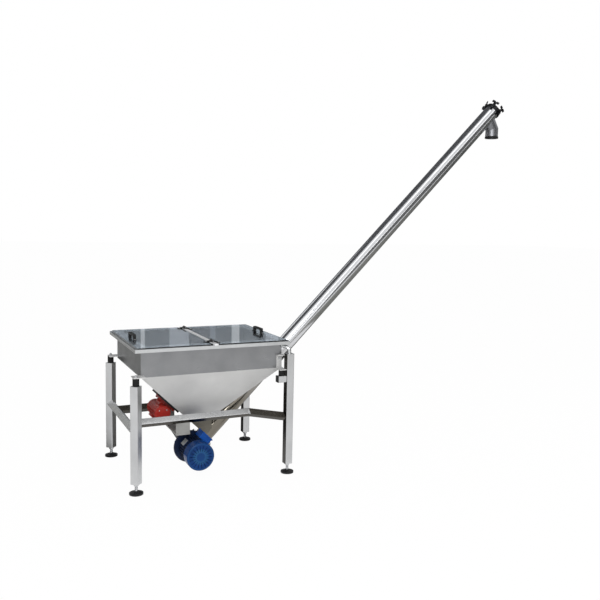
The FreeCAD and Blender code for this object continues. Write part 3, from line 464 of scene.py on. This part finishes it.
@dataclass
class MachineFinishes:
    """Which finish each piece of the solid model gets."""

    wear: Dict[str, str] = field(default_factory=lambda: {
        "legs": "left_legs buffer_arms",
        "inner_legs": "right_legs",
        "rails": "left_end_rail",
        "long_rails": "side_rails",
        "skirt": "hopper_skirt",
        "hanger": "hanger_frame",
        "rim": "hopper_rim",
        "bar": "lid_bar",
        "funnel": "hopper_funnel hopper_lugs hopper_brackets",
        "tube": "conveyor_tube tube_base_flange tube_saddle",
        "spout": "outlet_spout",
        "zinc": "foot_spindles foot_lock_nuts hopper_fixings hinge_pins left_lid_screws right_lid_screws "
                "base_flange_bolts",
        "blackened": "swing_bolt_pins swing_bolt_1 swing_bolt_2 swing_bolt_3 swing_bolt_4 end_flange",
        "acrylic": "left_lid right_lid",
        "nylon": "foot_pads foot_inserts arm_end_caps hinge_bases left_hinge_leaves right_hinge_leaves "
                 "left_lid_handle right_lid_handle cable_gland end_cover",
        "rubber": "rubber_buffers shaft_seal outlet_seal_ring",
        "blue": "gearbox_housing gearbox_cover terminal_box motor_fan",
        "cowl": "fan_cowl",
        "navy": "motor_body",
        "red": "vibrator_body vibrator_caps",
        "black": "vibrator_base",
        "plate": "rating_plate",
        "bronze": "worm_wheel",
        "acetal": "end_bush",
        "steel": "screw_core screw_flight motor_rotor vibrator_rotor",
    })

    def dress(self, palette: Palette) -> None:
        """Put the finishes on the solid model's own pieces.

        Args:
            palette: finishes of the machine.
        """
        for key, names in self.wear.items():
            for name in names.split():
                piece = bpy.data.objects[name]
                for place in piece.material_slots:
                    place.material = palette.get(key)
                LOG.info("dressed %s as %s", name, key)
        self.mark_cowl(palette.get("cowl"))

    @staticmethod
    def mark_cowl(material: bpy.types.Material) -> None:
        """Paint paler rings onto the cowl's round end, as a painted highlight.

        Args:
            material: the cowl's enamel.
        """
        tree = material.node_tree
        shader = tree.nodes["Principled BSDF"]
        enamel = shader.inputs["Base Color"].links[0].from_socket
        low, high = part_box("fan_cowl")
        centre = ((low[0] + high[0]) / 2, 0.0, (low[2] + high[2]) / 2)
        coords = add_node(tree, "ShaderNodeTexCoord")
        flat = add_node(tree, "ShaderNodeVectorMath", {"operation": "MULTIPLY", 1: (1.0, 0.0, 1.0)},
                        {0: coords.outputs["Object"]})
        arm = add_node(tree, "ShaderNodeVectorMath", {"operation": "DISTANCE", 1: centre},
                       {0: flat.outputs[0]})
        limits = {"From Min": 0.0, "From Max": COWL_RADIUS}
        share = add_node(tree, "ShaderNodeMapRange", limits, {"Value": arm.outputs["Value"]})
        ramp = add_node(tree, "ShaderNodeValToRGB", {}, {0: share.outputs["Result"]})
        stops = ramp.color_ramp.elements
        for place, level in COWL_RING:
            stops.new(place).color = (level, level, level, 1.0)
        stops[0].color = COWL_HUB
        stops[-1].color = COWL_EDGE
        # the paler blue of the rings is a painted highlight
        worn = toned(tree, enamel, "#285A82", ramp.outputs["Color"])
        tree.links.new(worn, shader.inputs["Base Color"])


def node_tree(name: str, sizes: Dict[str, float], counts: Dict[str, int]) -> bpy.types.NodeTree:
    """Start a geometry tree with named inputs.

    Args:
        name: name of the tree.
        sizes: lengths in metres with their defaults.
        counts: whole numbers with their defaults.

    Returns:
        The tree, with its group input and output nodes.
    """
    tree = bpy.data.node_groups.new(name, "GeometryNodeTree")
    tree.interface.new_socket("Geometry", in_out="INPUT", socket_type="NodeSocketGeometry")
    tree.interface.new_socket("Geometry", in_out="OUTPUT", socket_type="NodeSocketGeometry")
    for label, value in sizes.items():
        socket = tree.interface.new_socket(label, in_out="INPUT", socket_type="NodeSocketFloat")
        socket.default_value = value
    for label, value in counts.items():
        socket = tree.interface.new_socket(label, in_out="INPUT", socket_type="NodeSocketInt")
        socket.default_value = value
    add_node(tree, "NodeGroupInput")
    add_node(tree, "NodeGroupOutput")
    return tree


def close_tree(tree: bpy.types.NodeTree, shape: bpy.types.NodeSocket, material: bpy.types.Material) -> None:
    """End a geometry tree with real geometry and its material.

    Args:
        tree: geometry tree.
        shape: socket with the instances.
        material: finish of the repeats.
    """
    real = add_node(tree, "GeometryNodeRealizeInstances", {}, {"Geometry": shape})
    dressed = add_node(tree, "GeometryNodeSetMaterial", {"Material": material},
                       {"Geometry": real.outputs[0]})
    tree.links.new(dressed.outputs[0], tree.nodes["Group Output"].inputs[0])


def grown(name: str, points: Sequence[Vector], tree: bpy.types.NodeTree,
          values: Dict[str, float], place: Optional[Matrix] = None,
          edges: Sequence[Tuple[int, int]] = ()) -> bpy.types.Object:
    """Run a geometry tree on seed points and keep the result as a mesh.

    Args:
        name: piece name.
        points: seed points.
        tree: geometry tree.
        values: input values by name.
        place: matrix put on the finished mesh.
        edges: pairs of seed points that are joined.

    Returns:
        A plain mesh object at the origin.
    """
    seed = bpy.data.meshes.new(name + "_seed")
    seed.from_pydata([tuple(p) for p in points], list(edges), [])
    carrier = linked(name + "_seed", seed)
    modifier = carrier.modifiers.new("grow", "NODES")
    modifier.node_group = tree
    for item in tree.interface.items_tree:
        if item.in_out == "INPUT" and item.name in values:
            modifier[item.identifier] = values[item.name]
    shown = carrier.evaluated_get(bpy.context.evaluated_depsgraph_get())
    mesh = bpy.data.meshes.new_from_object(shown)
    carrier.modifiers.remove(modifier)
    bpy.data.objects.remove(carrier)
    if place is not None:
        mesh.transform(place)
    mesh.name = name
    piece = linked(name, mesh)
    LOG.info("grew %s with %d faces", name, len(mesh.polygons))
    return piece


def stack_tree(material: bpy.types.Material) -> bpy.types.NodeTree:
    """Make the tree that stacks thin rings upward from each seed point.

    Args:
        material: finish of the rings.

    Returns:
        The tree, with the inputs Radius, Ridge, Pitch and Count.
    """
    sizes = {"Radius": 0.01, "Ridge": 0.0006, "Pitch": 0.0025}
    tree = node_tree("Stacked thread ridges", sizes, {"Count": 10})
    given = tree.nodes["Group Input"].outputs
    loop = add_node(tree, "GeometryNodeCurvePrimitiveCircle", {"Resolution": 36},
                    {"Radius": given["Radius"]})
    section = add_node(tree, "GeometryNodeCurvePrimitiveCircle", {"Resolution": 5},
                       {"Radius": given["Ridge"]})
    ridge = add_node(tree, "GeometryNodeCurveToMesh", {},
                     {"Curve": loop.outputs["Curve"], "Profile Curve": section.outputs["Curve"]})
    rise = add_node(tree, "ShaderNodeCombineXYZ", {}, {"Z": given["Pitch"]})
    line = add_node(tree, "GeometryNodeMeshLine", {},
                    {"Count": given["Count"], "Offset": rise.outputs[0]})
    stack = add_node(tree, "GeometryNodeInstanceOnPoints", {},
                     {"Points": line.outputs[0], "Instance": ridge.outputs[0]})
    placed = add_node(tree, "GeometryNodeInstanceOnPoints", {},
                      {"Points": given["Geometry"], "Instance": stack.outputs[0]})
    close_tree(tree, placed.outputs[0], material)
    return tree


def circle_tree(material: bpy.types.Material) -> bpy.types.NodeTree:
    """Make the tree that sets round screw heads on a circle.

    Args:
        material: finish of the heads.

    Returns:
        The tree, with the inputs Circle, Head, Height and Count.
    """
    sizes = {"Circle": 0.05, "Head": 0.005, "Height": 0.004}
    tree = node_tree("Screws on a circle", sizes, {"Count": 4})
    given = tree.nodes["Group Input"].outputs
    ring = add_node(tree, "GeometryNodeMeshCircle", {},
                    {"Vertices": given["Count"], "Radius": given["Circle"]})
    head = add_node(tree, "GeometryNodeMeshCylinder", {"Vertices": 20},
                    {"Radius": given["Head"], "Depth": given["Height"]})
    placed = add_node(tree, "GeometryNodeInstanceOnPoints", {},
                      {"Points": ring.outputs[0], "Instance": head.outputs["Mesh"]})
    close_tree(tree, placed.outputs[0], material)
    return tree


def weld_tree(material: bpy.types.Material) -> bpy.types.NodeTree:
    """Make the tree that lays a stitched weld bead along joined seed points.

    Args:
        material: finish of the bead.

    Returns:
        The tree, with the inputs Bead and Step.
    """
    tree = node_tree("Stitched weld bead", {"Bead": 0.002, "Step": 0.004}, {})
    given = tree.nodes["Group Input"].outputs
    path = add_node(tree, "GeometryNodeMeshToCurve", {}, {"Mesh": given["Geometry"]})
    steps = add_node(tree, "GeometryNodeResampleCurve", {"mode": "LENGTH"},
                     {"Curve": path.outputs[0], "Length": given["Step"]})
    blob = add_node(tree, "GeometryNodeMeshIcoSphere", {"Subdivisions": 1}, {"Radius": given["Bead"]})
    placed = add_node(tree, "GeometryNodeInstanceOnPoints", {},
                      {"Points": steps.outputs[0], "Instance": blob.outputs["Mesh"]})
    close_tree(tree, placed.outputs[0], material)
    return tree


@dataclass
class LevellingFeet:
    """Thread ridges of the four levelling spindles."""

    spindle_radius: float = 0.010
    pitch: float = 0.0025
    ridge: float = 0.0007
    clear: float = 0.001

    def build(self, palette: Palette) -> bpy.types.Object:
        """Grow the ridges between each pad and its lock nut.

        Args:
            palette: finishes of the machine.

        Returns:
            The ridges of all four spindles.
        """
        pads_low, pads_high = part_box("foot_pads")
        nuts_low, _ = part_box("foot_lock_nuts")
        xs = (pads_low[0] + PAD_RADIUS, pads_high[0] - PAD_RADIUS)
        ys = (pads_low[1] + PAD_RADIUS, pads_high[1] - PAD_RADIUS)
        start = pads_high[2] + self.clear
        points = [Vector((x, y, start)) for x in xs for y in ys]
        count = int((nuts_low[2] - start - self.clear) / self.pitch)
        values = {"Radius": self.spindle_radius, "Ridge": self.ridge, "Pitch": self.pitch,
                  "Count": count}
        piece = grown("spindle_threads", points, stack_tree(palette.get("zinc")), values)
        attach(piece, "frame")
        return piece


def barrel_turn() -> Matrix:
    """Turn a piece's own upright axis to lie along the vibrator's barrel, across the machine.

    Returns:
        The turn.
    """
    return Matrix.Rotation(math.pi / 2, 4, "X")


def middle(low: Sequence[float], high: Sequence[float]) -> Vector:
    """Give the middle of a box.

    Args:
        low: its lowest corner.
        high: its highest corner.

    Returns:
        The point halfway.
    """
    return Vector([(a + b) / 2.0 for a, b in zip(low, high)])


@dataclass
class CapScrews:
    """Round screws that hold the vibrator's end caps."""

    circle: float = 0.040
    head: float = 0.0045
    height: float = 0.004
    count: int = 4

    def build(self, palette: Palette) -> List[bpy.types.Object]:
        """Set the screws on both end caps.

        Args:
            palette: finishes of the machine.

        Returns:
            One piece for each cap.
        """
        low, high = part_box("vibrator_caps")
        centre = middle(low, high)
        pieces = []
        for label, y in (("front", low[1]), ("rear", high[1])):
            place = Matrix.Translation((centre.x, y, centre.z)) @ barrel_turn()
            place = place @ Matrix.Rotation(math.pi / 4, 4, "Z")
            values = {"Circle": self.circle, "Head": self.head, "Height": self.height,
                      "Count": self.count}
            piece = grown("vibrator_screws_" + label, [Vector((0, 0, 0))],
                          circle_tree(palette.get("zinc")), values, place)
            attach(piece, "frame")
            pieces.append(piece)
        return pieces


def rib_tree(material: bpy.types.Material) -> bpy.types.NodeTree:
    """Make the tree that stands cooling ribs round a barrel.

    Args:
        material: finish of the ribs.

    Returns:
        The tree, with the inputs Barrel, Rise, Thick, Long and Count.
    """
    sizes = {"Barrel": 0.06, "Rise": 0.005, "Thick": 0.004, "Long": 0.15}
    tree = node_tree("Ribs round a barrel", sizes, {"Count": 16})
    given = tree.nodes["Group Input"].outputs
    loop = add_node(tree, "GeometryNodeCurvePrimitiveCircle", {},
                    {"Resolution": given["Count"], "Radius": given["Barrel"]})
    spots = add_node(tree, "GeometryNodeCurveToPoints", {"mode": "EVALUATED"},
                     {"Curve": loop.outputs["Curve"]})
    size = add_node(tree, "ShaderNodeCombineXYZ", {},
                    {"X": given["Rise"], "Y": given["Long"], "Z": given["Thick"]})
    rib = add_node(tree, "GeometryNodeMeshCube", {}, {"Size": size.outputs[0]})
    placed = add_node(tree, "GeometryNodeInstanceOnPoints", {},
                      {"Points": spots.outputs["Points"], "Instance": rib.outputs["Mesh"],
                       "Rotation": spots.outputs["Rotation"]})
    close_tree(tree, placed.outputs[0], material)
    return tree


@dataclass
class BarrelRibs:
    """Cooling ribs cast round the vibrator's barrel."""

    barrel: float = 0.0615
    rise: float = 0.007
    thick: float = 0.004
    long: float = 0.170
    count: int = 20

    def build(self, palette: Palette) -> bpy.types.Object:
        """Stand the ribs round the barrel.

        Args:
            palette: finishes of the machine.

        Returns:
            The ribs.
        """
        low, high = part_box("vibrator_caps")
        place = Matrix.Translation(middle(low, high)) @ barrel_turn()
        values = {"Barrel": self.barrel, "Rise": self.rise, "Thick": self.thick, "Long": self.long,
                  "Count": self.count}
        piece = grown("vibrator_ribs", [Vector((0, 0, 0))], rib_tree(palette.get("red")), values, place)
        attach(piece, "frame")
        return piece


@dataclass
class HopperSeam:
    """Weld bead where the hopper's straight sides meet its slopes."""

    bead: float = 0.0018
    step: float = 0.0045

    def build(self, palette: Palette) -> bpy.types.Object:
        """Lay the bead round the hopper.

        Args:
            palette: finishes of the machine.

        Returns:
            The bead.
        """
        low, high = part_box("hopper_skirt")
        z = low[2]
        points = [Vector((low[0], low[1], z)), Vector((high[0], low[1], z)),
                  Vector((high[0], high[1], z)), Vector((low[0], high[1], z))]
        edges = [(0, 1), (1, 2), (2, 3), (3, 0)]
        values = {"Bead": self.bead, "Step": self.step}
        piece = grown("hopper_weld_seam", points, weld_tree(palette.get("funnel")), values, None, edges)
        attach(piece, "frame")
        return piece


@dataclass
class CornerStays:
    """Bent round tubes from the right hand leg tops to the hopper's corners."""

    radius: float = 0.014
    rise: float = 0.024
    reach: float = 0.046
    climb: float = 0.058
    lean: float = 0.004
    knee_share: float = 0.86
    steps: int = 10
    sides: int = 24
    sharp_angle: float = 0.7

    def _route(self, foot: Vector, side: float) -> List[Vector]:
        """Give the points of one stay's middle line.

        Args:
            foot: point on the leg's top plate.
            side: -1 for the front leg, 1 for the rear leg.

        Returns:
            Points along a smooth bend.
        """
        start = foot + Vector((0, 0, self.rise))
        knee = foot + Vector((-self.lean, -side * self.lean, self.climb * self.knee_share))
        tip = foot + Vector((-self.reach, -side * self.reach, self.climb))
        route = [foot, start]
        for step in range(1, self.steps + 1):
            t = step / self.steps
            route.append(start * (1 - t) ** 2 + knee * 2 * t * (1 - t) + tip * t * t)
        return route

    def _bent(self, name: str, route: Sequence[Vector]) -> bpy.types.Mesh:
        """Make the mesh of one round tube along a line.

        Args:
            name: name of the mesh.
            route: points of its middle line.

        Returns:
            The closed mesh.
        """
        curve = bpy.data.curves.new(name, "CURVE")
        curve.dimensions = "3D"
        curve.bevel_depth = self.radius
        curve.bevel_resolution = self.sides // 4
        curve.use_fill_caps = True
        spline = curve.splines.new("POLY")
        spline.points.add(len(route) - 1)
        for point, place in zip(spline.points, route):
            point.co = (place.x, place.y, place.z, 1.0)
        carrier = linked("corner_stay_curve", curve)
        shown = carrier.evaluated_get(bpy.context.evaluated_depsgraph_get())
        mesh = bpy.data.meshes.new_from_object(shown)
        bpy.data.objects.remove(carrier)
        mesh.shade_smooth()
        mesh.set_sharp_from_angle(angle=self.sharp_angle)
        return mesh

    def build(self, palette: Palette) -> List[bpy.types.Object]:
        """Bend both stays.

        Args:
            palette: finishes of the machine.

        Returns:
            One piece for each right hand leg.
        """
        low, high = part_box("right_legs")
        pieces = []
        for label, side, y in (("front", -1.0, low[1] + HALF_LEG), ("rear", 1.0, high[1] - HALF_LEG)):
            foot = Vector((high[0] - HALF_LEG, y, high[2]))
            mesh = self._bent("corner_stay_" + label, self._route(foot, side))
            mesh.materials.clear()
            mesh.materials.append(palette.get("rim"))
            piece = linked("corner_stay_" + label, mesh)
            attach(piece, "frame")
            pieces.append(piece)
            LOG.info("bent %s", piece.name)
        return pieces


@dataclass
class Studio:
    """Camera, floor, lights and backdrop."""

    eye: Triple = (-2.797376, -5.2577, 1.9120)
    yaw: float = 25.88
    pitch: float = 6.08
    roll: float = 1.22
    lens: float = 42.3
    sensor: float = 36.0
    farthest: float = 200.0
    world_level: float = 0.75
    aim: Triple = (-0.2, 0.0, 1.2)
    floor_colour: str = "#F2F2F1"
    floor_reach: float = 60.0
    floor_seen: float = 0.97
    floor_mirrored: float = 0.8
    strips_left: float = -1.6
    strips_back: float = 5.2
    strips_middle: float = 1.7
    strip_height: float = 1.8
    strip_count: int = 27
    strip_widths: Sequence[float] = (0.34, 0.09, 0.27, 0.13, 0.40, 0.06, 0.22, 0.16, 0.31)
    strip_tones: Sequence[str] = ("#66707A", "#A9B2BD", "#56606A", "#7E8896", "#5E6973", "#D0D7DE", "#626D76")

    def camera(self) -> None:
        """Place the camera at the photograph's viewing angle."""
        yaw, pitch, roll = (math.radians(v) for v in (self.yaw, self.pitch, self.roll))
        level = math.cos(pitch)
        forward = Vector((math.sin(yaw) * level, math.cos(yaw) * level, -math.sin(pitch)))
        right = Vector((math.cos(yaw), -math.sin(yaw), 0.0))
        up = right.cross(forward)
        side = right * math.cos(roll) + up * math.sin(roll)
        top = up * math.cos(roll) - right * math.sin(roll)
        data = bpy.data.cameras.new("camera")
        data.lens = self.lens
        data.sensor_width = self.sensor
        data.clip_end = self.farthest
        eye = linked("camera", data)
        turn = Matrix((side, top, -forward)).transposed().to_4x4()
        eye.matrix_world = Matrix.Translation(self.eye) @ turn
        bpy.context.scene.camera = eye

    def panel(self, name: str, at: Triple, size: float, energy: float, mirrored: bool) -> None:
        """Add a soft square lamp that faces the middle of the machine.

        Args:
            name: lamp name.
            at: where the lamp stands.
            size: side length in metres.
            energy: power in watts.
            mirrored: whether shiny surfaces mirror the lamp.
        """
        data = bpy.data.lights.new(name, "AREA")
        data.size = size
        data.energy = energy
        lamp = linked(name, data)
        lamp.location = at
        lamp.rotation_euler = (Vector(self.aim) - Vector(at)).to_track_quat("-Z", "Y").to_euler()
        lamp.visible_camera = False
        lamp.visible_glossy = mirrored

    def card(self, name: str, at: Triple, target: Triple, width: float, height: float, code: str,
             glow: float = 0.0, roll: float = 0.0) -> None:
        """Hang a matt card that only reflections see, as a studio flag or a softbox.

        Args:
            name: card name.
            at: centre of the card.
            target: point it faces.
            width: width in metres.
            height: height in metres.
            code: card colour.
            glow: light the card gives off, above the white of the studio.
            roll: turn of the card about its own normal, in degrees.
        """
        mesh = flat_sheet(name, width / 2, height / 2)
        face = (Vector(target) - Vector(at)).to_track_quat("Z", "Y").to_matrix().to_4x4()
        turned = Matrix.Rotation(math.radians(roll), 4, "Z")
        mesh.transform(Matrix.Translation(at) @ face @ turned)
        flag = linked(name, mesh)
        material = bpy.data.materials.new(name)
        material.use_nodes = True
        tree = material.node_tree
        shader = tree.nodes["Principled BSDF"]
        shader.inputs["Base Color"].default_value = linear(code)
        shader.inputs["Roughness"].default_value = CARD_ROUGHNESS
        shader.inputs["Emission Color"].default_value = WHITE
        shader.inputs["Emission Strength"].default_value = glow
        mesh.materials.append(material)
        flag.visible_camera = False
        flag.visible_diffuse = False
        flag.visible_shadow = False
        flag.visible_transmission = False

    def floor(self) -> None:
        """Lay a pale floor that stays nearly white to the camera and keeps the shadow."""
        mesh = flat_sheet("floor", self.floor_reach, self.floor_reach)
        ground = linked("floor", mesh)
        material = bpy.data.materials.new("Pale seamless paper")
        material.use_nodes = True
        tree = material.node_tree
        tree.nodes.remove(tree.nodes["Principled BSDF"])
        paper = add_node(tree, "ShaderNodeBsdfDiffuse", {"Color": linear(self.floor_colour)})
        glow = add_node(tree, "ShaderNodeEmission", {"Color": WHITE, "Strength": 1.0})
        ray = add_node(tree, "ShaderNodeLightPath")
        seen = math_node(tree, "MULTIPLY", ray.outputs["Is Camera Ray"], self.floor_seen)
        mirrored = math_node(tree, "MULTIPLY", ray.outputs["Is Glossy Ray"], self.floor_mirrored)
        share = math_node(tree, "MAXIMUM", seen, mirrored)
        mix = add_node(tree, "ShaderNodeMixShader", {},
                       {0: share, 1: paper.outputs[0], 2: glow.outputs[0]})
        tree.links.new(mix.outputs[0], tree.nodes["Material Output"].inputs[0])
        mesh.materials.append(material)

    def world(self) -> None:
        """Surround the machine with an even white studio."""
        world = bpy.data.worlds.new("studio")
        bpy.context.scene.world = world
        world.use_nodes = True
        tree = world.node_tree
        tree.nodes.clear()
        fill = add_node(tree, "ShaderNodeBackground", {"Color": WHITE, "Strength": self.world_level})
        seen = add_node(tree, "ShaderNodeBackground", {"Color": WHITE, "Strength": 1.0})
        ray = add_node(tree, "ShaderNodeLightPath").outputs
        direct = math_node(tree, "MAXIMUM", ray["Is Camera Ray"], ray["Is Glossy Ray"])
        share = math_node(tree, "MAXIMUM", direct, ray["Is Transmission Ray"])
        mix = add_node(tree, "ShaderNodeMixShader", {},
                       {0: share, 1: fill.outputs[0], 2: seen.outputs[0]})
        out = add_node(tree, "ShaderNodeOutputWorld")
        tree.links.new(mix.outputs[0], out.inputs[0])

    def cards(self) -> None:
        """Hang the flags that darken the sheets' reflections and the softboxes along the tube."""
        self.card("flag_above", (-1.5, 2.45, 7.8), (-1.5, 2.45, 0.0), 10.0, 7.2, "#5E5F62")
        self.card("flag_back", (3.15, 6.2, 5.3), (3.15, 0.0, 5.3), 8.7, 5.2, "#5E5F62")
        self.card("flag_rear_left", (-2.5, 3.4, 0.9), (-0.6, -0.4, 0.9), 2.8, 1.8, "#A4A4A2")
        self.card("flag_left_high", (-4.8, -1.2, 2.9), (2.0, 0.0, 2.7), 5.0, 1.6, "#4C4C4E")
        self.card("flag_floor_rear", (-0.9, 2.7, 0.004), (-0.9, 2.7, 9.0), 5.6, 4.7, "#53514C")
        # A dark card under the machine, seen only in reflections, is a painted shadow of the machine on the
        # floor
        self.card("flag_floor_under", (0.57, -0.10, 0.006), (0.57, -0.10, 9.0), 0.7, 0.8, "#24211E")
        self.card("flag_floor_right", (6.8, 0.0, 0.005), (6.8, 0.0, 9.0), 10.4, 12.0, "#84847F")
        tube = (0.35, 0.0, 1.65)
        self.card("softbox_high", (-0.62, -1.84, 4.09), tube, 5.4, 0.50, "#FFFFFF", 1.5, -48.0)
        self.card("softbox_low", (0.77, -3.0, 2.70), tube, 5.4, 0.34, "#FFFFFF", 1.2, -42.0)
        self.card("flag_far_right", (9.0, 1.5, 1.9), (0.0, 1.5, 1.9), 13.0, 3.8, "#6A6B68")
        self.card("flag_right_rear", (5.6, 4.4, 1.0), (1.0, 0.0, 1.2), 6.0, 2.4, "#4A4A4A")
        self.card("flag_right_front", (5.2, -6.3, 3.6), (5.2, 0.0, 3.6), 8.0, 5.0, "#7A7A7A")

    def strips(self) -> None:
        """Hang upright strips behind the machine, whose streaks the clear lids mirror."""
        left = self.strips_left
        for index in range(self.strip_count):
            width = self.strip_widths[index % len(self.strip_widths)]
            tone = self.strip_tones[index % len(self.strip_tones)]
            x = left + width / 2
            at = (x, self.strips_back, self.strips_middle)
            target = (x, 0.0, self.strips_middle)
            self.card("strip_%d" % index, at, target, width, self.strip_height, tone)
            left += width

    def build(self) -> None:
        """Set up the whole studio."""
        scene = bpy.context.scene
        scene.view_settings.view_transform = "Standard"
        self.camera()
        self.world()
        self.floor()
        self.panel("key", (-3.5, -6.5, 4.5), 2.6, 260.0, True)
        self.panel("fill", (4.5, -5.0, 2.5), 2.5, 90.0, False)
        self.cards()
        self.strips()


def main() -> None:
    """Build every piece in order."""
    logging.basicConfig(level=logging.INFO)
    Studio().build()
    palette = Palette()
    MachineFinishes().dress(palette)
    LevellingFeet().build(palette)
    CapScrews().build(palette)
    BarrelRibs().build(palette)
    HopperSeam().build(palette)
    CornerStays().build(palette)


if __name__ == "__main__":
    main()
